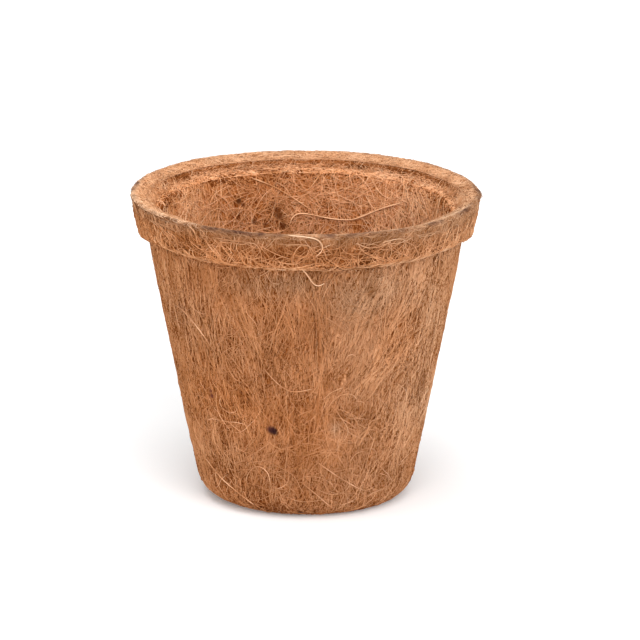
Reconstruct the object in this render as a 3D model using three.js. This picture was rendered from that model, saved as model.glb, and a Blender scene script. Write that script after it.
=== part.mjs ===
// A small plant pot of pressed coconut fibre. Three felts bonded with latex make it: a tapered wall whose
// lower edge turns in along the base, a floor disc inside that edge, and a collar strip lapped round the top
// of the wall. The collar's foot is the step outside. Its top is a lip that falls towards the mouth and covers
// part of the wall's top edge, and the rest of that edge is the ledge inside. Long loose fibres lie on the felts.
// Millimetres, +Z up, origin at the centre of the base, front towards -Y.
import * as THREE from "three";

// Driving dimensions. Felt thicknesses and the bond are measured level, straight out from the pot's axis.
const POT_HEIGHT = 88.5;
const RIM_RADIUS = 50; // outside of the collar, at the rim
const BASE_RADIUS = 29.9; // where the outside line of the wall reaches the base
const WALL_FELT = 4.6;
const FLOOR_FELT = 4;
const COLLAR_FELT = 2.3;
const BOND = 0.3; // latex line between two felts
const COLLAR_HEIGHT = 11; // rim down to the collar's lower outer edge
const FOOT_DROP = 1.5; // fall of the collar's underside, from that edge in to the wall
const LIP_WIDTH = 5.2; // rim in to the lip's edge, level
const LIP_DROP = 1.85; // fall of the lip, from the rim to that edge
const LEDGE_DEPTH = 3.7; // rim down to the top edge of the wall
const LEDGE_DROP = 1.4; // fall of that top edge, from the lip towards the mouth
const HEEL_RADIUS = 8; // outside round between the wall and the base
const TURN_IN = 3; // how far the wall runs in along the base, past the heel
const RIM_ROUND = 0.4;
const LIP_ROUND = 0.5;
const FOOT_ROUND = 1;
const LEDGE_ROUND = 0.7;
const FIBRE_THICKNESS = 0.5;
const FIBRE_SEAT = 0.3; // clearance between a felt and a fibre that lies on it

// How finely the round forms are divided
const ROUND_STEPS = 72; // round the pot
const ARC_STEP = THREE.MathUtils.degToRad(18); // round a corner of a section
const FIBRE_SIDES = 6;
const FIBRE_STEP = 1.4; // along a fibre
const ROUTE_POINTS = 8; // laid on the face for each point of a fibre's route

// Worked out from the dimensions: the wall and the collar share one taper.
const TAPER = (RIM_RADIUS - COLLAR_FELT - BOND - BASE_RADIUS) / POT_HEIGHT;
const TAPER_ANGLE = Math.atan(TAPER);
const wallOutside = (z) => BASE_RADIUS + TAPER * z;
const wallInside = (z) => wallOutside(z) - WALL_FELT;
const collarInside = (z) => wallOutside(z) + BOND;
const collarOutside = (z) => collarInside(z) + COLLAR_FELT;

const LIP_RADIUS = RIM_RADIUS - LIP_WIDTH; // at the lip's edge
const LIP_LOW = POT_HEIGHT - LIP_DROP;
const LEDGE_HIGH = POT_HEIGHT - LEDGE_DEPTH;
const LEDGE_LOW = LEDGE_HIGH - LEDGE_DROP;
const FOOT_HIGH = POT_HEIGHT - COLLAR_HEIGHT;
const FOOT_LOW = FOOT_HIGH - FOOT_DROP;
const HEEL_REACH = HEEL_RADIUS / Math.tan((Math.PI / 2 + TAPER_ANGLE) / 2); // base line taken by the heel
const HEEL_END = BASE_RADIUS - HEEL_REACH; // where the heel meets the flat of the base
const TURNED_EDGE = HEEL_END - TURN_IN; // the wall's lower edge, which the floor lies inside
const INNER_HEEL_RADIUS = HEEL_RADIUS - WALL_FELT;

// Sections: corners as [radius from the axis, height, round]

// Points along a chain of corners, with an arc at each corner that has a round.
function rounded(corners, closed) {
  const at = corners.map(([r, z]) => new THREE.Vector2(r, z));
  return corners.flatMap(([, , round], i) => {
    const isEnd = !closed && (i === 0 || i === corners.length - 1);
    if (!round || isEnd) return [at[i]];
    const back = at.at(i - 1).clone().sub(at[i]).normalize();
    const onward = at[(i + 1) % at.length].clone().sub(at[i]).normalize();
    const half = Math.acos(back.dot(onward)) / 2;
    const middle = back.clone().add(onward).setLength(round / Math.sin(half)).add(at[i]);
    const first = at[i].clone().addScaledVector(back, round / Math.tan(half));
    const turn = Math.PI - 2 * half;
    const steps = Math.max(2, Math.ceil(turn / ARC_STEP));
    const side = Math.sign(onward.cross(back)); // which way the chain turns here
    return Array.from({ length: steps + 1 }, (_, k) =>
      first.clone().rotateAround(middle, (side * turn * k) / steps),
    );
  });
}

const wallSection = [
  [TURNED_EDGE, 0, 0],
  [BASE_RADIUS, 0, HEEL_RADIUS],
  [wallOutside(LEDGE_HIGH), LEDGE_HIGH, LEDGE_ROUND],
  [LIP_RADIUS, LEDGE_HIGH, LEDGE_ROUND],
  [wallInside(LEDGE_LOW), LEDGE_LOW, LEDGE_ROUND],
  [wallInside(FLOOR_FELT), FLOOR_FELT, INNER_HEEL_RADIUS],
  [TURNED_EDGE, FLOOR_FELT, 0],
];

const floorSection = [
  [0, 0, 0],
  [TURNED_EDGE - BOND, 0, 0],
  [TURNED_EDGE - BOND, FLOOR_FELT, 0],
  [0, FLOOR_FELT, 0],
];

const collarSection = [
  [collarInside(FOOT_LOW), FOOT_LOW, 0],
  [collarOutside(FOOT_HIGH), FOOT_HIGH, FOOT_ROUND],
  [RIM_RADIUS, POT_HEIGHT, RIM_ROUND],
  [LIP_RADIUS, LIP_LOW, LIP_ROUND],
  [LIP_RADIUS, LEDGE_HIGH + BOND, 0],
  [collarInside(LEDGE_HIGH + BOND), LEDGE_HIGH + BOND, 0],
];

// Faces: what a loose fibre lies on, as a line from the rim down, and the side of that line where the air is

const outsideFace = {
  air: 1,
  line: new THREE.Path(
    rounded([
      [RIM_RADIUS, POT_HEIGHT],
      [collarOutside(FOOT_HIGH), FOOT_HIGH, FOOT_ROUND],
      [wallOutside(FOOT_LOW), FOOT_LOW],
      [BASE_RADIUS, 0, HEEL_RADIUS],
      [HEEL_END, 0],
    ]),
  ),
};

const insideFace = {
  air: -1,
  line: new THREE.Path(
    rounded([
      [RIM_RADIUS, POT_HEIGHT],
      [LIP_RADIUS, LIP_LOW, LIP_ROUND],
      [LIP_RADIUS, LEDGE_HIGH],
      [wallInside(LEDGE_LOW), LEDGE_LOW, LEDGE_ROUND],
      [wallInside(FLOOR_FELT), FLOOR_FELT, INNER_HEEL_RADIUS],
      [TURNED_EDGE, FLOOR_FELT],
    ]),
  ),
};

// Pieces

const pot = new THREE.Group();

const felt = (colour) => new THREE.MeshStandardMaterial({ color: colour, roughness: 0.95, metalness: 0 });
const strand = new THREE.MeshStandardMaterial({ color: 0xd9a06c, roughness: 0.7, metalness: 0 });

function addPiece(name, geometry, material) {
  const piece = new THREE.Mesh(geometry, material);
  piece.name = name;
  pot.add(piece);
}

// A felt is its section turned round the pot's axis.
function addFelt(name, section, colour) {
  const outline = rounded(section, true);
  const startsOnAxis = section[0][0] === 0;
  if (!startsOnAxis) outline.push(outline[0]);
  addPiece(name, new THREE.LatheGeometry(outline, ROUND_STEPS).rotateX(Math.PI / 2), felt(colour));
}

// The middle of a fibre: bearing in degrees to the right of the front, percent of the way down the face from
// the rim, and how far it is lifted clear of its seat.
function overFace(face, bearing, down, lift) {
  const share = THREE.MathUtils.clamp(down / 100, 0, 1);
  const foot = face.line.getPoint(share);
  const along = face.line.getTangent(share);
  const away = (FIBRE_THICKNESS / 2 + FIBRE_SEAT + lift) * face.air;
  const radius = foot.x - along.y * away;
  const height = foot.y + along.x * away;
  const angle = THREE.MathUtils.degToRad(bearing);
  return new THREE.Vector3(radius * Math.sin(angle), -radius * Math.cos(angle), height);
}

const fibreSection = new THREE.Shape().absarc(0, 0, FIBRE_THICKNESS / 2, 0, 2 * Math.PI);

// A loose fibre is a thin tube whose route is given by a few points [bearing, percent down, lift].
function addFibre(name, face, route) {
  const corners = route.map(([bearing, down, lift = 0]) => new THREE.Vector3(bearing, down, lift));
  const flat = new THREE.CatmullRomCurve3(corners);
  const laid = flat.getPoints(corners.length * ROUTE_POINTS);
  const path = new THREE.CatmullRomCurve3(laid.map((p) => overFace(face, p.x, p.y, Math.max(p.z, 0))));
  const tube = new THREE.ExtrudeGeometry(fibreSection, {
    steps: Math.ceil(path.getLength() / FIBRE_STEP),
    curveSegments: FIBRE_SIDES / 2, // a circle is drawn with two sides to each of these
    extrudePath: path,
    bevelEnabled: false,
  });
  addPiece(name, tube, strand);
}

addFelt("wall_felt", wallSection, 0xaf754e);
addFelt("floor_felt", floorSection, 0xa56b45);
addFelt("collar_felt", collarSection, 0xa56c43);

const CLEAR_OF_A_FIBRE = FIBRE_THICKNESS + FIBRE_SEAT; // lift that carries one fibre over another

addFibre("rim_curl_fibre", outsideFace, [
  [-6, 0],
  [0, 0.5],
  [4, 1.5],
  [5.5, 4],
  [5, 6],
  [3, 8],
]);
addFibre("collar_slant_fibre", outsideFace, [
  [-15, 4],
  [-10, 7],
  [-5, 9],
]);
addFibre("collar_foot_fibre", outsideFace, [
  [1, 5],
  [0, 8],
  [-2.5, 10.5],
  [-7, 10.5],
  [-12, 9.5],
]);
addFibre("collar_tail_fibre", outsideFace, [
  [-1.5, 13.5],
  [1, 17],
  [4, 19.5],
  [7, 18.5],
]);
addFibre("wall_left_fibre", outsideFace, [
  [-62, 31],
  [-55, 32],
  [-50, 34.5],
  [-43, 39.5],
]);
addFibre("wall_bow_fibre", outsideFace, [
  [-18, 45],
  [-12, 50],
  [-6, 52.5],
  [3, 51.5],
]);
addFibre("wall_arch_fibre", outsideFace, [
  [15, 46],
  [17, 41],
  [20, 41],
  [22, 45],
]);
addFibre("heel_slant_fibre", outsideFace, [
  [-60, 80],
  [-48, 85],
  [-36, 89],
  [-29, 92],
]);
addFibre("heel_loop_fibre", outsideFace, [
  [-32, 84],
  [-30, 81],
  [-24, 78],
  [-19, 80],
  [-18, 85],
]);
addFibre("heel_short_fibre", outsideFace, [
  [-3, 82],
  [6, 87],
  [13, 91],
]);
addFibre("heel_wave_fibre", outsideFace, [
  [4, 75],
  [14, 80],
  [26, 85],
  [33, 87],
  [38, 86],
]);
addFibre("mouth_slant_fibre", insideFace, [
  [203, 11.5],
  [195, 14],
  [189, 16.5],
  [182.5, 19.5],
  [177.5, 22],
]);
addFibre("mouth_long_fibre", insideFace, [
  [187, 26.5],
  [186.5, 24.5],
  [184, 23],
  [179, 23, CLEAR_OF_A_FIBRE],
  [172, 24],
  [165, 24.5],
  [158.5, 24],
  [154, 22.5],
  [147, 20],
  [135, 16.5],
]);
addFibre("mouth_cross_fibre", insideFace, [
  [170, 9.5],
  [174, 11],
  [178, 15],
  [181.5, 17],
]);
addFibre("mouth_right_fibre", insideFace, [
  [129, 10.5],
  [124, 13],
  [118, 16.5],
  [113, 19],
]);

export default pot;
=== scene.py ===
"""A coir plant pot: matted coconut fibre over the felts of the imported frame. Metres, +Z up, front at -Y."""

import math
from dataclasses import dataclass

import bpy
import numpy as np
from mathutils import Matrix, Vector


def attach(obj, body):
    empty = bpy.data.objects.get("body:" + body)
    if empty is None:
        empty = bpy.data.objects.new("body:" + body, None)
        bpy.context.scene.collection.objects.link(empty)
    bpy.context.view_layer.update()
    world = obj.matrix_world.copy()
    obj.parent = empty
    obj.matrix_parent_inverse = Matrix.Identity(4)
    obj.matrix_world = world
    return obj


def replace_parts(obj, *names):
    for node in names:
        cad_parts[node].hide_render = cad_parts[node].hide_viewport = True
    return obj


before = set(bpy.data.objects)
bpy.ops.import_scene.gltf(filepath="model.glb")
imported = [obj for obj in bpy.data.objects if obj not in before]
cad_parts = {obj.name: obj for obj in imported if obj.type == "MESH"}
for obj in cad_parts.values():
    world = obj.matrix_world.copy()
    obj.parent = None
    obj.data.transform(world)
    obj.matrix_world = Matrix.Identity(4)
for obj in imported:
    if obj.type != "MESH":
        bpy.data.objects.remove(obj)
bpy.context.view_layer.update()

MM = 0.001
SEED = 20

# Camera, fitted to the pot's outline in the photograph
PHOTO_PIXELS = 640
FOCAL_PIXELS = 6982
POT_CENTRE_PIXEL = (305.9, 342.4)
CAMERA_DISTANCE = 2.0
CAMERA_ELEVATION = math.radians(15.8)
SENSOR_MM = 36

# Colours, as sRGB levels from 0 to 255
# GAP is the darkest coir, and also paints the shade in gaps between fibres.
GAP = (108, 46, 4)
RUST = (152, 84, 34)
TAN = (190, 121, 69)
STRAW = (220, 154, 103)
PALE = (250, 196, 151)
RIM_GREY = (96, 62, 50)
PITH = (56, 30, 32)
RED_BARK = (112, 60, 52)
# HOLE and PIT_SHADE_BROWN paint the shade in holes in the felt inside the pot.
HOLE = (74, 30, 6)
PIT_SHADE_BROWN = (122, 62, 22)


# Helpers

TINY = 1e-12


def linear(levels):
    """An sRGB colour as the linear values that shaders take, by the standard's formula."""
    share = np.array(levels) / 255
    values = np.where(share <= 0.04045, share / 12.92, ((share + 0.055) / 1.055) ** 2.4)
    return (*map(float, values), 1.0)


def hump(value, middle, width):
    """1 at the middle of a range, falling away smoothly on both sides."""
    return np.exp(-(((value - middle) / width) ** 2))


def fade(value, start, end):
    """0 up to the start of a range, and 1 from its end on."""
    return np.clip((value - start) / (end - start), 0, 1)


def unit(vectors):
    return vectors / (np.linalg.norm(vectors, axis=-1, keepdims=True) + TINY)


def round_pot(places):
    """Bearing in degrees to the right of the front, radius and height of places."""
    x, y, z = np.moveaxis(places, -1, 0)
    return np.degrees(np.arctan2(x, -y)), np.hypot(x, y), z


def turned(bearing):
    """Factors that turn section points, as (radius, radius, height), to a bearing in radians."""
    return np.stack([np.sin(bearing), -np.cos(bearing), np.ones_like(bearing)], -1)


def run_along(line):
    """How far along a line each of its points lies."""
    steps = np.linalg.norm(np.diff(line, axis=0), axis=1)
    return np.concatenate([[0], np.cumsum(steps)])


def even_points(line, count):
    run = run_along(line)
    even = np.linspace(0, run[-1], count)
    return np.stack([np.interp(even, run, column) for column in line.T], 1)


def resample(line, spacing):
    """Points along a line at an even spacing, near the one asked for."""
    return even_points(line, max(2, round(run_along(line)[-1] / spacing) + 1))


def smoothed(rows, count):
    """Rows of values, each averaged with its neighbours."""
    around = np.ones(count) / count
    columns = [np.convolve(np.pad(column, count // 2, "edge"), around, "valid") for column in rows.T]
    return np.stack(columns, 1)


# The felts' sections, read from the frame

SAME_PLACE = 1e-6
NEAR_PLACE = 1e-5


def points_of(node):
    """A node's points in the frame, with their last digits rounded off."""
    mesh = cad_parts[node].data
    places = np.empty(len(mesh.vertices) * 3)
    mesh.vertices.foreach_get("co", places)
    return np.round(places.reshape(-1, 3) / SAME_PLACE) * SAME_PLACE


def section(node):
    """A turned node's outline at the front, in order, as points (radius, height)."""
    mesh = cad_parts[node].data
    places = points_of(node)
    ends = np.empty(len(mesh.edges) * 2, int)
    mesh.edges.foreach_get("vertices", ends)
    in_plane = (np.abs(places[:, 0]) < NEAR_PLACE) & (places[:, 1] < NEAR_PLACE)
    spots, spot_of = np.unique(places[:, 1:], axis=0, return_inverse=True)
    spot_of = spot_of.reshape(-1)
    beside = {}
    ends = ends.reshape(-1, 2)
    for a, b in np.concatenate([ends, ends[:, ::-1]]):
        if in_plane[a] and in_plane[b] and spot_of[a] != spot_of[b]:
            beside.setdefault(spot_of[a], set()).add(spot_of[b])
    tips = sorted(spot for spot in beside if len(beside[spot]) == 1)
    order = [tips[0] if tips else min(beside)]
    while onward := beside[order[-1]].difference(order):
        order.append(min(onward))
    line = spots[order]
    return np.stack([-line[:, 0], line[:, 1]], 1)


OUT, IN, UP = (1, 0), (-1, 0), (0, 1)


def run_between(loop, start, end, towards):
    """The stretch of a loop between two of its points, by the side in a given direction."""
    count = len(loop)
    ahead = loop[[(start + k) % count for k in range((end - start) % count + 1)]]
    back = loop[[(start - k) % count for k in range((start - end) % count + 1)]]
    reach = [resample(side, MM).mean(0) @ towards for side in (ahead, back)]
    return ahead if reach[0] > reach[1] else back


wall = section("wall_felt")
collar = section("collar_felt")
floor = section("floor_felt")
rim_top = collar[:, 1].argmax()
RIM_RADIUS, RIM_Z = collar[rim_top]
foot = collar[:, 1].argmin()
FOOT_Z = collar[foot, 1]
LIP_RADIUS = collar[:, 0].min()
on_lip_edge = np.flatnonzero(collar[:, 0] < LIP_RADIUS + NEAR_PLACE)
lip_foot = on_lip_edge[collar[on_lip_edge, 1].argmin()]
shoulder = wall[:, 0].argmax()
LEDGE_Z = wall[:, 1].max()
underside = np.flatnonzero(wall[:, 1] < NEAR_PLACE)
edge_below = underside[wall[underside, 0].argmin()]
EDGE_RADIUS = wall[edge_below, 0]
at_edge = np.flatnonzero(np.abs(wall[:, 0] - EDGE_RADIUS) < NEAR_PLACE)
edge_above = at_edge[wall[at_edge, 1].argmax()]
FLOOR_TOP = wall[edge_above, 1]

collar_outside = run_between(collar, rim_top, foot, OUT)
collar_lip = run_between(collar, rim_top, lip_foot, UP)
wall_outside = run_between(wall, shoulder, edge_below, OUT)
wall_outside = wall_outside[wall_outside[:, 1] < FOOT_Z]
wall_inside = run_between(wall, shoulder, edge_above, IN)


# How the pressed felt has settled: movements in mm, bearings and their widths in degrees

LEAST_RADIUS = 5 * MM  # keeps turns finite near the axis
SINK = 0.3  # of the sides, inwards
FOOT_SINK = 0.5  # more of it near the collar's foot
FOOT_ZONE = (FOOT_Z + 1 * MM, 7 * MM)
SINK_ZONE = 20 * MM  # the radius from which it is full
SWELLS = [(0.15, 3, 0.6)]  # waves round the pot: height, number, phase
SIDE = 91  # the mouth's ends in the photograph
CORNER_SWELL = 0.7  # of the rim's right end
CORNER_WIDTH = 5
CORNER_HEIGHT = 3 * MM
RIM_RISE = 0.35  # of the whole rim, and more of it at the front and on the left
RIM_FRONT_RISE = 0.25
RIM_LEFT_RISE = 0.35
RIM_WAVES = [(0.06, 5, 1.0), (0.05, 13, 2.0)]
FOOT_RISE = 1.6  # of the collar's foot, at the front
FRONT_ENDS = (82, 66)
SIDE_DIP = 1.1  # of the collar's foot, at both sides
DIP_WIDTH = 9
HEEL_RISE = 0.3
HEEL_HEIGHT = 10 * MM
HEEL_RING = (18 * MM, 28 * MM)


def wavy(turn, waves):
    return sum(height * np.sin(number * turn + phase) for height, number, phase in waves)


def settle(places):
    """Places moved by the faults of a hand-pressed pot: sunken sides, uneven rim, heel and collar foot."""
    x, y, z = np.moveaxis(places, -1, 0)
    bearing, radius, _ = round_pot(places)
    turn = np.radians(bearing)
    off_front = np.abs(bearing)
    near_foot = hump(z, *FOOT_ZONE)
    near_rim = fade(z, RIM_Z / 2, RIM_Z) ** 2
    near_heel = fade(z, HEEL_HEIGHT, 0) * fade(radius, *HEEL_RING)
    sink = (SINK + FOOT_SINK * near_foot) * fade(radius, 0, SINK_ZONE)
    swell = wavy(turn, SWELLS) * fade(z, 0, RIM_Z)
    swell = swell + CORNER_SWELL * hump(bearing, SIDE, CORNER_WIDTH) * fade(z, RIM_Z - CORNER_HEIGHT, RIM_Z)
    rim_rise = RIM_RISE + RIM_FRONT_RISE * np.cos(turn) - RIM_LEFT_RISE * np.sin(turn)
    rim_rise = rim_rise + wavy(turn, RIM_WAVES)
    foot_rise = FOOT_RISE * fade(off_front, *FRONT_ENDS) - SIDE_DIP * hump(off_front, SIDE, DIP_WIDTH)
    heel_rise = HEEL_RISE * (1 - np.sin(turn))
    rise = rim_rise * near_rim + foot_rise * near_foot + heel_rise * near_heel
    shrink = 1 + (swell - sink) * MM / np.maximum(radius, LEAST_RADIUS)
    return np.stack([x * shrink, y * shrink, z + rise * MM], -1)


# Faces that fibres lie on

LINE_STEP = 0.25 * MM  # between the points of a face's section
AWAY_POINTS = 7  # averaged for the direction away from a face


class TurnedFace:
    """A face turned round the axis. A spot on it is a bearing in radians and a run down the face."""

    def __init__(self, line, air):
        self.line = resample(line, LINE_STEP)
        self.run = run_along(self.line)
        along = unit(np.gradient(self.line, axis=0))
        smooth = unit(smoothed(along, AWAY_POINTS))
        self.away = np.stack([-smooth[:, 1], smooth[:, 0]], 1) * air

    def at(self, run, values):
        return np.stack([np.interp(run, self.run, values[..., k]) for k in (0, 1)], -1)

    def step(self, spot, heading, length):
        """The spot after a step; heading 0 goes down the face, and a right angle goes right."""
        bearing, run = spot
        radius = np.maximum(self.at(run, self.line)[..., 0], LEAST_RADIUS)
        return bearing + length * np.sin(heading) / radius, run + length * np.cos(heading)

    def place(self, spot, lift):
        """Where a spot is, lifted off the face, and the direction away from the face there."""
        bearing, run = spot
        away = self.at(run, self.away)
        lifted = self.at(run, self.line) + away * lift[..., None]
        return lifted[..., [0, 0, 1]] * turned(bearing), away[..., [0, 0, 1]] * turned(bearing)


class FlatFace:
    """A level disc. A spot on it is an x and a y."""

    def __init__(self, height, air):
        self.height = height
        self.air = air

    def step(self, spot, heading, length):
        return spot[0] + length * np.sin(heading), spot[1] + length * np.cos(heading)

    def place(self, spot, lift):
        up = self.height + self.air * lift
        away = np.zeros((*np.shape(spot[0]), 3))
        away[..., 2] = self.air
        return np.stack([spot[0], spot[1], up], -1), away


RIM_POINTS = 8  # on each side of the rim's top
LOWEST = 0.15 * MM  # fibres stay this far above the ground
LIP_EDGE_ROOM = 0.4 * MM  # from the lip's edge to the fibres on it
LEDGE_WIDTH_MM = 3
GROOVE_ON_LIP_MM = 0.6  # what the soft groove covers of lip and ledge
GROOVE_ON_LEDGE_MM = 1.2
GROOVE_CORNER = (LIP_RADIUS - 0.3 * MM, LEDGE_Z + 0.5 * MM)
GROOVE_DEPTH = 0.4  # share of the way from its edges to that corner

outside = TurnedFace(np.concatenate([collar_outside, wall_outside]), air=1)
lip = TurnedFace(collar_lip, air=-1)
inside = TurnedFace(wall_inside, air=-1)
over_rim = [resample(line, LINE_STEP)[:RIM_POINTS] for line in (collar_lip, collar_outside)]
rim = TurnedFace(np.concatenate([over_rim[0][:0:-1], over_rim[1]]), air=1)
inner_floor = FlatFace(FLOOR_TOP, air=1)
base = FlatFace(LOWEST, air=-1)
FOOT_MM = run_along(collar_outside)[-1] / MM
OUTSIDE_MM = outside.run[-1] / MM
INSIDE_MM = inside.run[-1] / MM
LIP_MM = np.interp(-LIP_RADIUS - LIP_EDGE_ROOM, -lip.line[:, 0], lip.run) / MM
LEDGE_MM = np.interp(-LIP_RADIUS, -inside.line[:, 0], inside.run) / MM
LEDGE_END = LEDGE_MM + LEDGE_WIDTH_MM
RIM_MM = rim.run[-1] / MM
on_lip = lip.at((LIP_MM - GROOVE_ON_LIP_MM) * MM, lip.line)
on_ledge = inside.at((LEDGE_MM + GROOVE_ON_LEDGE_MM) * MM, inside.line)
in_groove = (on_lip + on_ledge) / 2 * (1 - GROOVE_DEPTH) + np.array(GROOVE_CORNER) * GROOVE_DEPTH
groove = TurnedFace(np.stack([on_lip, in_groove, on_ledge]), air=-1)
GROOVE_MM = groove.run[-1] / MM


# Fields over the pot

WAVES = 16
WAVE_PACES = (0.5, 1.5)
PATCH_DEPTH = 2 * MM  # how far a patch reaches from its face
LEAST_FALL = 0.1 * MM  # in 1 mm of run, on a face that is almost level


def drift(places, seed, size):
    """Smooth noise of about unit spread and the given size."""
    rng = np.random.default_rng(seed)
    total = np.zeros(places.shape[:-1])
    for _ in range(WAVES):
        way = rng.standard_normal(3)
        pace = way / np.linalg.norm(way) * rng.uniform(*WAVE_PACES) * 2 * math.pi / size
        total += np.sin(places @ pace + rng.uniform(0, 2 * math.pi))
    return total / math.sqrt(WAVES / 2)


def turn_hump(bearing, middle, width):
    """1 at a bearing, falling away smoothly to its left and right."""
    return hump((bearing - middle + 180) % 360 - 180, 0, width)


def patchwork(face, patches, places):
    """The sum of soft patches on a face, at places on or near it."""
    bearing, radius, z = round_pot(places)
    total = np.zeros(np.shape(z))
    for at_bearing, at_run, width, height, amount in patches:
        middle = face.at(at_run * MM, face.line)
        slope = face.at((at_run + 1) * MM, face.line) - middle
        level = middle[0] + (z - middle[1]) * slope[0] / min(slope[1], -LEAST_FALL)
        soft = turn_hump(bearing, at_bearing, width) * hump(z, middle[1], height * MM)
        total += amount * soft * (np.abs(radius - level) < PATCH_DEPTH)
    return total


# Patches: bearing in degrees, run down the face in mm, width in degrees, height in mm, amount
# Weathered grey, on the outside
GREY_PATCHES = [
    (-20, 19, 12, 3, 0.4), (-4, 18, 9, 3, 0.5), (24, 21, 13, 5, 0.5), (13.5, 62.5, 2.6, 2.2, 0.6),
    (22, 40, 16, 36, 0.2), (58, 45, 32, 60, 0.5), (50, 6, 35, 8, 0.3), (35, 2.5, 45, 3.5, 0.2),
]
# Looser felt on the outside, or closer felt where the amount is below 0
OPEN_PATCHES = [
    (-12, 25, 8, 9, 0.3), (-12, 42, 9, 12, 0.3), (-8, 56, 10, 6, 0.3), (2, 52, 8, 3, 0.3),
    (44, 45, 6, 12, 0.12), (37, 68, 8, 6, 0.3), (-30, 78, 12, 5, 0.25), (-58, 52, 12, 20, 0.2),
    (0, 87, 60, 4, 0.3), (20, 32, 15, 17, -0.4), (-36, 24, 12, 8, -0.3), (20, 58, 10, 10, -0.2),
    # The four patches on the next line follow a crease down the wall: painted shade in it.
    (11.5, 43, 3, 6, 0.3), (7, 55, 3, 7, 0.35), (2, 68, 3, 7, 0.35), (-4, 81, 3, 7, 0.35),
    (-10, 10.5, 30, 3.5, 0.5), (-60, 10.5, 25, 3.5, 0.3), (30, 11, 25, 3, 0.4), (75, 10, 20, 3, 0.3),
    (150, 10.5, 60, 3.5, 0.4), (-140, 10.5, 40, 3.5, 0.4), (0, 3, 400, 2.5, -0.3),
    (42, 4.5, 25, 4, -0.4),
]
# The same, on the inside
INSIDE_OPEN_PATCHES = [
    (203, 3, 14, 4, 0.5), (190, 16, 10, 6, 0.4), (150, 12, 20, 8, -0.2), (-126, 14, 18, 9, -0.4),
    (-95, 6, 9, 5, 0.5),
]
# Lean of the wall's tufts, in degrees
LEANS = [
    (30, 40, 26, 26, -24), (-22, 33, 8, 16, 20), (-45, 40, 16, 22, -8), (3, 62, 8, 20, -18),
]
# Paler tone, on the inside
PALE_PATCHES = [
    (132, 8, 26, 10, 0.18), (150, 20, 30, 9, 0.1), (-124, 8, 26, 10, 0.05),
]
# Darker or paler tone, on the outside
SHADE_PATCHES = [
    # The first four patches on the next line follow the same crease: painted shade in it.
    (8.8, 47.5, 1.5, 4, -0.2), (5.6, 57, 1.2, 5, -0.14), (2, 66, 2, 7, -0.12), (-3, 79, 2.4, 7, -0.12),
    # The first patch on the next line darkens the bottom edge: painted shade where less light reaches it.
    (0, 92, 60, 5, -0.06), (-8, 9.5, 22, 4, -0.05), (-52, 6, 18, 7, 0.04), (30, 8, 18, 6, -0.04),
    (50, 45, 22, 45, 0.06), (-45, 45, 24, 45, 0.03), (-34, 48, 1.3, 2, -0.12),
    (-29.6, 52, 1.3, 2.2, -0.14), (-25.5, 56, 1.3, 2, -0.1), (48, 37, 2, 1.5, -0.22),
    (25, 20.5, 1.5, 2, -0.2), (53, 28, 1, 5, -0.14),
]
# Grime along the rim: bearing in degrees, width in degrees, amount
RIM_PATCHES = [
    (-36, 8, 0.5), (-24, 12, 0.7), (9, 4, 0.6), (22, 9, 0.3), (66, 2, 0.9), (-95, 5, 0.8),
    (-58, 11, -0.8), (155, 12, 0.4),
]

OPEN_MIDDLE = 0.35
OPEN_SPREAD = 0.12


def openness(places):
    """How loosely the felt is matted: 0 where it is pressed smooth, 1 where gaps show."""
    patches = patchwork(outside, OPEN_PATCHES, places) + patchwork(inside, INSIDE_OPEN_PATCHES, places)
    return np.clip(OPEN_MIDDLE + OPEN_SPREAD * drift(places, SEED, size=12 * MM) + patches, 0, 1)


OUTSIDE_GREY = 0.36
RIM_FELT_GREY = 0.35  # more of it above the ledge
LIP_GREY = 0.2  # and more again on the lip
GREY_SPREAD = 0.06
WALL_DEPTH = (2 * MM, 3 * MM)  # from the inside of the wall to where it turns grey
LIP_HEIGHTS = (RIM_Z - 2.2 * MM, RIM_Z - 1.2 * MM)


def greyness(places):
    """How grey the fibres are: weathered outside and on the lip, and brown inside, where the warmer colour
    also paints the light bounced round inside the pot.
    """
    _, radius, z = round_pot(places)
    from_inside = radius - np.interp(z, wall_inside[::-1, 1], wall_inside[::-1, 0])
    grey = OUTSIDE_GREY * fade(from_inside, *WALL_DEPTH) + RIM_FELT_GREY * fade(z, LEDGE_Z - 1 * MM, LEDGE_Z)
    grey = grey + LIP_GREY * fade(z, *LIP_HEIGHTS)
    grey = grey + GREY_SPREAD * drift(places, SEED + 1, size=30 * MM)
    return np.clip(grey + patchwork(outside, GREY_PATCHES, places), 0, 1)


GRIME = 0.2
GRIME_DRIFTS = [(0.25, 9 * MM), (0.2, 4 * MM)]  # spread and size
GRIME_STRENGTH = 0.85
STRENGTH_SPREAD = 0.3
LEAST_STRENGTH = 0.35
BACK_BEARINGS = (100, 120)  # where the clean back of the rim begins
BACK_CLEAN = 0.55
GRIME_REACH = (1.1 * MM, 0.6 * MM)  # from the rim's edge


def rim_grime(places):
    """How grey and worn the edge of the rim is."""
    bearing, radius, z = round_pot(places)
    at_back = fade(np.abs(bearing), *BACK_BEARINGS)
    amount = GRIME * (1 - at_back)
    for number, (spread, size) in enumerate(GRIME_DRIFTS):
        amount = amount + spread * drift(places, SEED + 2 + number, size)
    for at_bearing, width, more in RIM_PATCHES:
        amount = amount + more * turn_hump(bearing, at_bearing, width)
    strength = GRIME_STRENGTH + STRENGTH_SPREAD * drift(places, SEED + 4, size=2.6 * MM)
    amount = np.clip(amount, 0, 1) * (1 - BACK_CLEAN * at_back) * np.clip(strength, LEAST_STRENGTH, 1)
    return amount * fade(np.hypot(radius - RIM_RADIUS, z - RIM_Z), *GRIME_REACH)


# Materials; the scales of noise are per metre

TONE_STOPS = (0.0, 0.3, 0.55, 0.78, 1.0)
COIR = (GAP, RUST, TAN, STRAW, PALE)
GREY_COIR = ((104, 56, 20), (145, 95, 57), (180, 133, 97), (207, 162, 126), (238, 200, 166))
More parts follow.
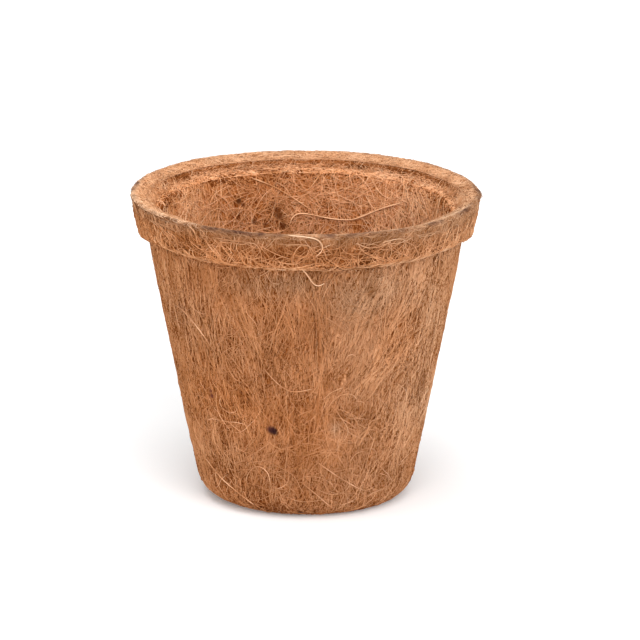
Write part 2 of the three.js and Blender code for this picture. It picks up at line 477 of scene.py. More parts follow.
# Dark spots: face, bearing in degrees, run in mm, radius in mm, colour; the spots inside are holes in the
# felt, with their shade painted in
SPOTS = [
    (outside, -16.4, 62.9, 1.2, RED_BARK), (outside, -15.5, 63.2, 1.25, PITH),
    (outside, -14.5, 63.7, 1.0, PITH), (outside, -46.6, 53.8, 0.6, RED_BARK),
    (outside, -46.4, 55.3, 0.8, RED_BARK), (inside, 191.5, 17.4, 1.3, PIT_SHADE_BROWN),
    (inside, 192.5, 15.8, 1.1, PIT_SHADE_BROWN), (inside, 190.2, 20.2, 1.1, GAP),
    (inside, 209.5, 12.0, 0.9, HOLE), (inside, 207.6, 13.2, 0.7, GAP), (inside, 203, 18.4, 0.9, GAP),
    (inside, 198, 19.6, 0.7, GAP), (inside, 178.3, 23.0, 0.9, GAP), (outside, -3.2, 91, 0.8, PITH),
]
SPOT_END = 1.3  # of its radius, where a spot ends
SPOT_CORE = 0.5  # of its radius, where it is full
SPOT_STRENGTH = 0.85
WANDER = 7 * MM  # how far the streaks bend aside
HOLE_STRETCH = 0.3  # holes are drawn out by less than streaks
HOLE_DEPTH = 0.8
HOLES_CLOSED = 0.3  # strength of holes in closed felt
HOLES_OPEN = 0.8  # and how much more in open felt
FELT_CONTRAST = 0.9


def fill(node, sockets):
    """Fills a node's sockets with values or with other nodes' results."""
    for key, value in sockets.items():
        if isinstance(value, bpy.types.NodeSocket):
            node.id_data.links.new(value, node.inputs[key])
        else:
            node.inputs[key].default_value = value


def put(tree, kind, result, sockets, **settings):
    """Adds a node, fills its sockets and returns its result."""
    made = tree.nodes.new(kind)
    for key, value in settings.items():
        setattr(made, key, value)
    fill(made, sockets)
    return made.outputs[result]


def scaled(tree, value, scale, shift=0):
    return put(tree, "ShaderNodeMath", 0, {0: value, 1: scale, 2: shift}, operation="MULTIPLY_ADD")


def centred(tree, value, depth):
    """A value between 0 and 1 as one that swings about 0."""
    return scaled(tree, value, depth, -depth / 2)


def added(tree, first, second):
    return put(tree, "ShaderNodeMath", 0, {0: first, 1: second}, operation="ADD")


def noise(tree, place, scale, detail, stretch=None):
    """Noise between 0 and 1, drawn out along an axis where its stretch is below 1."""
    if stretch:
        place = put(tree, "ShaderNodeMapping", "Vector", {"Vector": place, "Scale": stretch})
    return put(tree, "ShaderNodeTexNoise", "Fac", {"Vector": place, "Scale": scale, "Detail": detail})


def attribute(tree, name):
    return put(tree, "ShaderNodeAttribute", "Fac", {}, attribute_name=name)


def ramp(tree, value, colours):
    """A colour ramp over the tone, from dark to pale."""
    made = tree.nodes.new("ShaderNodeValToRGB")
    elements = made.color_ramp.elements
    while len(elements) < len(colours):
        elements.new(0.5)
    for element, place, levels in zip(elements, TONE_STOPS, colours):
        element.position = place
        element.color = linear(levels)
    fill(made, {"Fac": value})
    return made.outputs["Color"]


def blank_material(name, roughness, specular):
    made = bpy.data.materials.new(name)
    made.use_nodes = True
    shader = made.node_tree.nodes["Principled BSDF"]
    fill(shader, {"Roughness": roughness, "Specular IOR Level": specular})
    return made, made.node_tree, shader


def mix_over(tree, amount, under, over):
    """A colour with another one over it, which is a node's result or sRGB levels."""
    if not isinstance(over, bpy.types.NodeSocket):
        over = linear(over)
    return put(tree, "ShaderNodeMix", 2, {"Factor": amount, 6: under, 7: over}, data_type="RGBA")


def coir_colour(tree, place, tone):
    """A ramp over the mottled tone, with grey patches, the rim's grime and dark spots over it."""
    mottle = noise(tree, place, scale=140, detail=3)
    tone = added(tree, tone, centred(tree, mottle, depth=0.3))
    colour = ramp(tree, tone, COIR)
    colour = mix_over(tree, attribute(tree, "grey"), colour, ramp(tree, tone, GREY_COIR))
    colour = mix_over(tree, attribute(tree, "rim"), colour, RIM_GREY)
    for face, bearing, run, radius, levels in SPOTS:
        spot = np.array([math.radians(bearing)]), np.array([run * MM])
        middle = settle(face.place(spot, np.zeros(1))[0])[0]
        ends = {0: place, 1: tuple(map(float, middle))}
        away = put(tree, "ShaderNodeVectorMath", "Value", ends, operation="DISTANCE")
        reach = {"From Min": radius * MM * SPOT_END, "From Max": radius * MM * SPOT_CORE}
        sockets = {"Value": away, **reach, "To Max": SPOT_STRENGTH}
        colour = mix_over(tree, put(tree, "ShaderNodeMapRange", "Result", sockets), colour, levels)
    return colour


def felt_material(name, along, bump):
    """Pressed felt: streaks drawn out up the pot by the given share, with dark gaps where it is open; their
    dark is dark pith and painted shade in the felt's pits.
    """
    made, tree, shader = blank_material(name, roughness=0.95, specular=0.1)
    place = put(tree, "ShaderNodeTexCoord", "Object", {})
    wander = put(tree, "ShaderNodeTexNoise", "Color", {"Vector": place, "Scale": 60, "Detail": 2})
    sockets = {0: wander, 1: (WANDER,) * 3, 2: place}
    bent = put(tree, "ShaderNodeVectorMath", 0, sockets, operation="MULTIPLY_ADD")
    streaks = noise(tree, bent, scale=2200, detail=4, stretch=(1, 1, along))
    holes = noise(tree, bent, scale=1700, detail=1.5, stretch=(1, 1, along + HOLE_STRETCH))
    shown = {"Value": holes, "From Min": 0.52, "From Max": 0.6}
    gaps = put(tree, "ShaderNodeMapRange", "Result", shown)
    loose = scaled(tree, attribute(tree, "open"), HOLES_OPEN, HOLES_CLOSED)
    gaps = put(tree, "ShaderNodeMath", 0, {0: gaps, 1: loose}, operation="MULTIPLY")
    # The holes darken the tone as well as the bump: dark pith, and painted shade in the felt's pits.
    relief = added(tree, centred(tree, streaks, depth=1), scaled(tree, gaps, -HOLE_DEPTH))
    tone = added(tree, attribute(tree, "tone"), scaled(tree, relief, FELT_CONTRAST))
    fill(shader, {"Base Color": coir_colour(tree, place, tone)})
    height = {"Height": relief, "Strength": bump, "Distance": 0.25 * MM}
    fill(shader, {"Normal": put(tree, "ShaderNodeBump", "Normal", height)})
    return made


def fibre_material(name):
    """Single fibres, each with a tone of its own and a little grain."""
    made, tree, shader = blank_material(name, roughness=0.85, specular=0.06)
    place = put(tree, "ShaderNodeTexCoord", "Object", {})
    grain = noise(tree, place, scale=1200, detail=2)
    tone = added(tree, attribute(tree, "tone"), centred(tree, grain, depth=0.2))
    fill(shader, {"Base Color": coir_colour(tree, place, tone)})
    return made


wall_coir = felt_material("wall_coir", along=0.14, bump=0.5)
tangled_coir = felt_material("tangled_coir", along=0.5, bump=0.5)
fibre_coir = fibre_material("fibre_coir")


# Meshes from arrays


def add_mesh(name, places, faces, charts, tone, material, slot):
    """A smooth mesh piece of quads and triangles, with a map for each corner and a tone for each point."""
    mesh = bpy.data.meshes.new(name)
    mesh.vertices.add(len(places))
    mesh.vertices.foreach_set("co", settle(places).ravel())
    corners = np.concatenate([group.ravel() for group in faces])
    sizes = np.concatenate([np.full(len(group), group.shape[1]) for group in faces])
    mesh.loops.add(len(corners))
    mesh.loops.foreach_set("vertex_index", corners)
    mesh.polygons.add(len(sizes))
    mesh.polygons.foreach_set("loop_start", np.concatenate([[0], np.cumsum(sizes)[:-1]]))
    mesh.polygons.foreach_set("use_smooth", np.ones(len(sizes), bool))
    mesh.update(calc_edges=True)
    chart = mesh.uv_layers.new(name="OFBake")
    chart.data.foreach_set("uv", np.concatenate([part.reshape(-1) for part in charts]))
    shades = patchwork(inside, PALE_PATCHES, places) + patchwork(outside, SHADE_PATCHES, places)
    attributes = {
        "tone": tone + shades,
        "grey": greyness(places),
        "rim": rim_grime(places),
        "open": openness(places),
    }
    for key, values in attributes.items():
        layer = mesh.attributes.new(key, "FLOAT", "POINT")
        layer.data.foreach_set("value", np.ravel(values).astype(np.float32))
    mesh.materials.append(material)
    piece = bpy.data.objects.new(name, mesh)
    bpy.context.scene.collection.objects.link(piece)
    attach(piece, "root")
    return piece


# Felt skins

SKIN_STEPS = 360
SKIN_SINK = 0.2 * MM
SKIN_RELIEF = 0.14 * MM
FINE_SHARE = 0.6  # of the relief
BROAD_SHARE = 0.4
RELIEF_TONE = 0.05


def smooth_noise(rng, shape, wide):
    """Noise of unit spread over a grid that repeats, so many cells wide each way."""
    spectrum = np.fft.fft2(rng.standard_normal(shape))
    for axis in (0, 1):
        pace = np.fft.fftfreq(shape[axis])
        falloff = np.exp(-2 * (math.pi * pace * wide[axis]) ** 2)
        spectrum *= falloff[:, None] if axis == 0 else falloff[None, :]
    grid = np.real(np.fft.ifft2(spectrum))
    return grid / grid.std()


def add_skin(name, loop, tone, material, slot, seed, spacing):
    """An uneven felt, just inside its solid. Its section is closed, or open with its ends on the axis."""
    rng = np.random.default_rng(seed)
    closed = loop[0, 0] > NEAR_PLACE
    if closed:
        line = resample(np.concatenate([loop, loop[:1]]), spacing * MM)[:-1]
    else:
        line = resample(loop, spacing * MM)
    along = unit(np.roll(line, -1, axis=0) - np.roll(line, 1, axis=0))
    turn = np.sum(line[:, 0] * np.roll(line[:, 1], -1) - np.roll(line[:, 0], -1) * line[:, 1])
    away = np.stack([along[:, 1], -along[:, 0]], 1) * np.sign(turn)
    poles = line[[0, -1]]
    if not closed:
        line, away = line[1:-1], away[1:-1]
    count = len(line)
    bearing = np.arange(SKIN_STEPS)[:, None] * (2 * math.pi / SKIN_STEPS) + math.pi
    if closed:
        relief = smooth_noise(rng, (SKIN_STEPS, count), wide=(0.9, 1.6)) * FINE_SHARE
        relief += smooth_noise(rng, (SKIN_STEPS, count), wide=(2, 7)) * BROAD_SHARE
    else:
        smooth = line[None, :, [0, 0, 1]] * turned(bearing)
        relief = drift(smooth, seed, size=2 * MM) * FINE_SHARE
        relief += drift(smooth, seed + 1, size=6 * MM) * BROAD_SHARE
    offset = np.minimum(SKIN_RELIEF * relief - SKIN_SINK, 0)
    places = (line + away * offset[..., None])[..., [0, 0, 1]] * turned(bearing)
    i, j = np.meshgrid(np.arange(SKIN_STEPS), np.arange(count if closed else count - 1), indexing="ij")
    corners = [(i, j), (i, j + 1), (i + 1, j + 1), (i + 1, j)]
    if turn < 0:
        corners.reverse()
    quads = np.stack([(a % SKIN_STEPS) * count + b % count for a, b in corners], -1).reshape(-1, 4)
    chart = np.stack([np.stack([a / SKIN_STEPS, b / count], -1) for a, b in corners], -2)
    tones = tone(places) + RELIEF_TONE * relief
    places, tones = places.reshape(-1, 3), tones.ravel()
    faces, charts = [quads], [chart]
    if not closed:
        inset = SKIN_SINK * np.array([1, -1]) * np.sign(turn)
        tips = np.stack([np.zeros(2), np.zeros(2), poles[:, 1] + inset], 1)
        places = np.concatenate([places, tips])
        tones = np.concatenate([tones, tones[[0, count - 1]]])
        step = np.arange(SKIN_STEPS)
        for end, row in ((0, 0), (1, count - 1)):
            tip = np.full(SKIN_STEPS, SKIN_STEPS * count + end)
            ring = [step * count + row, (step + 1) % SKIN_STEPS * count + row]
            if (end == 1) != (turn > 0):
                ring.reverse()
            faces.append(np.stack([tip, *ring], 1))
            middle = np.stack([(step + 0.5) / SKIN_STEPS, np.full(SKIN_STEPS, float(end))], 1)
            near = np.stack([step / SKIN_STEPS, np.full(SKIN_STEPS, row / count)], 1)
            charts.append(np.stack([middle, near, near + (1 / SKIN_STEPS, 0)], 1))
    return add_mesh(name, places, faces, charts, tones, material, slot)


# Fibres


@dataclass
class Mat:
    """A zone of matted fibres, laid in tufts that each have one heading."""

    name: str
    face: object
    slot: str
    rows: tuple  # where tufts are, in mm down the face
    limits: tuple  # where fibres stay, in mm down the face
    tufts: int
    per_tuft: int
    length: tuple  # mm
    thickness: tuple  # mm
    lift: tuple  # mm
    tone: tuple
    lean: float  # spread of the tufts' headings, in degrees
    spread: float  # spread within a tuft, in degrees
    curl: float  # bend, in degrees for each mm
    points: int
    heading: float = 0  # degrees from straight down
    size: float = 3  # of a tuft, in mm along its heading
    width: float = 3  # of a tuft, in mm across its heading
    gaps: float = 0  # how strongly tufts gather where the felt is open
    bearings: tuple = (-180, 180)


SIDES = 3
MOST_TRIANGLES = 180_000  # in one piece
TURN_MARGIN = 1.5 * MM  # from its zone's edge, where a fibre begins to turn
TRIES = 4  # spots tried for each tuft
GAP_LEVEL = 0.4  # openness that doesn't sway tufts
LEAST_WEIGHT = 0.05
BEND_KEPT = 0.85  # share of a bend that lasts to the next point
FRESH_BEND = 0.5  # share of the mat's curl that each point adds
RISE = 0.35  # share of its lift that a fibre rises and falls by
RISE_PACES = (4, 14)  # radians along a fibre
PHASES = (0, 6)
END_SHARE = 0.25  # of half a fibre, where it thins and goes down into the felt
TUCK = 0.3 * MM  # how far its ends go down
TUCK_SHARE = 0.12  # of its length, at most
END_THICKNESS = 0.5  # share of its thickness
TUFT_TONE = 0.05  # spread of the tufts' tones
TONE_WAVE = 0.04
TONE_PACE = 9  # radians along a fibre
# In a fibre's cell of the map: the margin, the shape of an end, and the way from one end to the other
CHART_MARGIN = 0.05
END_SHAPE = np.array([(-0.1, 0), (0.1, 0), (0, 0.02)])
FAR_END = (0, 0.85)


def keep_on(face, spot, low, high):
    """The spot, brought back onto the mat's part of a face."""
    if isinstance(face, TurnedFace):
        return spot[0], np.clip(spot[1], low, high)
    beyond = np.maximum(np.hypot(*spot) / high, 1)
    return spot[0] / beyond, spot[1] / beyond


def turn_along(face, spot, heading, low, high):
    """The heading, turned along the edge of the mat's part of a face, near that edge."""
    if not isinstance(face, TurnedFace):
        return heading
    margin = min(TURN_MARGIN, (high - low) / 4)
    down = np.clip(np.cos(heading), (low - spot[1]) / margin, (high - spot[1]) / margin)
    down = np.clip(down, -1, 1)
    across = np.where(np.sin(heading) < 0, -1, 1) * np.sqrt(1 - down ** 2)
    return np.arctan2(across, down)


def tuft_spots(mat, rng):
    """Where a mat's tufts are."""
    tries = mat.tufts * TRIES
    if isinstance(mat.face, TurnedFace):
        spots = (np.radians(rng.uniform(*mat.bearings, tries)), rng.uniform(*mat.rows, tries) * MM)
        area = mat.face.at(spots[1], mat.face.line)[..., 0] / RIM_Z
    else:
        ring = np.sqrt(rng.uniform(0, 1, tries)) * mat.rows[1] * MM
        angle = rng.uniform(-math.pi, math.pi, tries)
        spots = (ring * np.sin(angle), ring * np.cos(angle))
        area = np.ones(tries)
    places = mat.face.place(spots, np.zeros(tries))[0]
    weight = area * np.clip(1 + mat.gaps * (openness(places) - GAP_LEVEL), LEAST_WEIGHT, None)
    chosen = rng.choice(tries, mat.tufts, replace=False, p=weight / weight.sum())
    return (spots[0][chosen], spots[1][chosen]), places[chosen]


def grow(mat, rng):
    """The middle lines of a mat's fibres, with the way out of the face, thickness and tone at each point."""
    count = mat.tufts * mat.per_tuft
    low, high = np.array(mat.limits) * MM
    of_tuft = np.repeat(np.arange(mat.tufts), mat.per_tuft)
    centres, centre_places = tuft_spots(mat, rng)
    length = rng.uniform(*mat.length, count) * MM
    stride = length / (mat.points - 1)
    flow = patchwork(outside, LEANS, centre_places) + rng.normal(0, mat.lean, mat.tufts)
    tuft_heading = np.radians(mat.heading + flow)[of_tuft]
    heading = tuft_heading + np.radians(rng.normal(0, mat.spread, count))
    heading = heading + math.pi * rng.integers(0, 2, count)
    spot = (centres[0][of_tuft], centres[1][of_tuft])
    spot = mat.face.step(spot, tuft_heading, rng.normal(0, mat.size * MM, count))
    spot = mat.face.step(spot, tuft_heading + math.pi / 2, rng.normal(0, mat.width * MM, count))
    spot = mat.face.step(spot, heading, -length / 2)
    bend = np.radians(rng.normal(0, mat.curl, count)) / MM
    spots = []
    for _ in range(mat.points):
        spot = keep_on(mat.face, spot, low, high)
        spots.append(spot)
        bend = bend * BEND_KEPT + np.radians(rng.normal(0, mat.curl * FRESH_BEND, count)) / MM
        heading = turn_along(mat.face, spot, heading + bend * stride, low, high)
        spot = mat.face.step(spot, heading, stride)
    spot = tuple(np.stack([s[k] for s in spots], 1) for k in (0, 1))
    share = np.linspace(0, 1, mat.points)[None, :]
    full = fade(np.minimum(share, 1 - share) * 2, 0, END_SHARE)
    layer = rng.uniform(*mat.lift, count)[:, None] * MM
    pace = rng.uniform(*RISE_PACES, count)[:, None]
    rise = RISE * np.sin(share * pace + rng.uniform(*PHASES, count)[:, None])
    tuck = np.minimum(TUCK, length * TUCK_SHARE)[:, None] * (1 - full)
    places, away = mat.face.place(spot, layer * (1 + rise) - tuck)
    places[..., 2] = np.maximum(places[..., 2], LOWEST)
    thickness = rng.uniform(*mat.thickness, count)[:, None] * MM
    thickness = thickness * (END_THICKNESS + (1 - END_THICKNESS) * full)
    of_fibre = rng.uniform(*mat.tone, count) + rng.normal(0, TUFT_TONE, mat.tufts)[of_tuft]
    phase = rng.uniform(*PHASES, count)[:, None]
    tone = of_fibre[:, None] + TONE_WAVE * np.sin(share * TONE_PACE + phase)
    return places, away, thickness, np.clip(tone, 0, 1)


def tube_mesh(places, away, thickness):
    """Points, faces and their maps for thin tubes along many lines at once."""
    count, points = places.shape[:2]
    along = unit(np.gradient(places, axis=1))
    side = unit(np.cross(along, away))
    top = np.cross(side, along)
    angle = np.arange(SIDES) * (2 * math.pi / SIDES) + math.pi / 2
    ring = side[:, :, None] * np.cos(angle)[:, None] + top[:, :, None] * np.sin(angle)[:, None]
    tube = places[:, :, None] + ring * (thickness / 2)[:, :, None, None]
    f, k, s = np.meshgrid(np.arange(count), np.arange(points - 1), np.arange(SIDES), indexing="ij")
    corners = [(k, s), (k, s + 1), (k + 1, s + 1), (k + 1, s)]
    quads = np.stack([(f * points + a) * SIDES + b % SIDES for a, b in corners], -1).reshape(-1, 4)
    number = np.arange(count)[:, None]
    first = number * points * SIDES + np.arange(SIDES)
    last = first + (points - 1) * SIDES
    wide = math.ceil(math.sqrt(count))
    cell = 1 / wide
    inset = (1 - 2 * CHART_MARGIN) * cell
    u, v = (f % wide + CHART_MARGIN) * cell, (f // wide + CHART_MARGIN) * cell
    sides = [np.stack([u + b / SIDES * inset, v + a / (points - 1) * inset], -1) for a, b in corners]
    near_end = np.stack([number % wide + 0.5, number // wide + CHART_MARGIN], -1) + END_SHAPE
    charts = [np.stack(sides, -2), near_end * cell, (near_end + FAR_END) * cell]
    return tube.reshape(-1, 3), [quads, first[:, ::-1], last], charts


def add_fibres(name, grown, slot):
    """Fibres, in as many pieces as keep each one light."""
    count, points = grown[0].shape[:2]
    per_fibre = (points - 1) * SIDES * 2 + 2
    shares = math.ceil(count * per_fibre / MOST_TRIANGLES)
    for number in range(shares):
        places, away, thickness, tone = (values[number::shares] for values in grown)
        tubes = tube_mesh(places, away, thickness)
        add_mesh(f"{name}_{number + 1}", *tubes, np.repeat(tone.ravel(), SIDES), fibre_coir, slot)


# Loose fibres, along the tubes in the frame

RING_REACH = 0.58 * MM  # takes in one ring of a tube, and not the next
TIP_REACH = 1.6  # of the rings' spacing: a tip has only one ring so near
LOOSE_STEP = 0.5 * MM
LEAST_POINTS = 6
LOOSE_SMOOTHING = 5  # points averaged
LOOSE_LOOKS = (0.3, 0.74)  # thickness in mm, and tone
BRIGHT_LOOKS = {
    "rim_curl_fibre": (0.42, 0.92),
    "mouth_long_fibre": (0.42, 0.96),
    "collar_tail_fibre": (0.42, 0.95),
    "mouth_slant_fibre": (0.3, 0.82),
    "wall_arch_fibre": (0.26, 0.66),
}
UNEVEN = 0.2  # share of the thickness
UNEVEN_PACES = (0.5, 0.9)  # radians for each mm
LOOSE_TONE_WAVE = 0.12
LOOSE_TONE_PACES = (0.4, 0.8)
TIP_THICKNESS = 0.4  # share of the thickness
TIP_LENGTH = 2 * MM


def middle_line(node):
    """The middle line of a tube in the frame: the middles of its rings, in order from one end."""
    places = np.unique(points_of(node), axis=0)
    apart = np.linalg.norm(places[:, None] - places[None], axis=-1)
    rings = [places[row < RING_REACH].mean(0) for row in apart]
    middles = np.unique(np.round(np.array(rings) / NEAR_PLACE), axis=0) * NEAR_PLACE
    apart = np.linalg.norm(middles[:, None] - middles[None], axis=-1)
    np.fill_diagonal(apart, np.inf)
    spacing = np.median(apart.min(1))
    order = [int((apart < TIP_REACH * spacing).sum(1).argmin())]
    while len(order) < len(middles):
        left = [k for k in range(len(middles)) if k not in order]
        order.append(left[int(apart[order[-1], left].argmin())])
    return middles[order]


def add_loose_fibre(node, rng):
    """A fibre along the middle of its tube in the frame, thinner, uneven and tapered."""
    line = middle_line(node)
    length = run_along(line)[-1]
    points = max(LEAST_POINTS, round(length / LOOSE_STEP))
    run = np.linspace(0, length, points)
    places = smoothed(even_points(line, points), LOOSE_SMOOTHING)
    out = unit(places * (1, 1, 0))
    to_end = np.minimum(run, length - run)
    uneven = 1 + UNEVEN * np.sin(run / MM * rng.uniform(*UNEVEN_PACES) + rng.uniform(*PHASES))
    thick, middle_tone = BRIGHT_LOOKS.get(node, LOOSE_LOOKS)
    thickness = thick * MM * uneven * (TIP_THICKNESS + (1 - TIP_THICKNESS) * fade(to_end, 0, TIP_LENGTH))
    wave = np.sin(run / MM * rng.uniform(*LOOSE_TONE_PACES) + rng.uniform(*PHASES))
    tone = middle_tone + LOOSE_TONE_WAVE * wave
    tubes = tube_mesh(places[None], out[None], thickness[None])
    return add_mesh(f"{node}_strand", *tubes, np.repeat(tone, SIDES), fibre_coir, "loose_fibre")


# Mats: name, face and slot, rows, limits, tufts, fibres in each,
# then length, thickness, lift, tone, lean, spread, curl and points

ON_WALL = (outside, "wall_coir")
ON_COLLAR = (outside, "collar_coir")
ON_RIM = (rim, "collar_coir")
ON_LIP = (lip, "collar_coir")
IN_GROOVE = (groove, "wall_coir")
IN_POT = (inside, "wall_coir")
WHOLE_WALL = (FOOT_MM, OUTSIDE_MM)
WALL = (FOOT_MM + 0.2, OUTSIDE_MM)
COLLAR = (0.9, FOOT_MM)
GROOVE = (0, GROOVE_MM)
INNER = (LEDGE_END, INSIDE_MM)
INNER_DISC = (0, EDGE_RADIUS / MM + 4)
BASE_DISC = (0, EDGE_RADIUS / MM + 2)
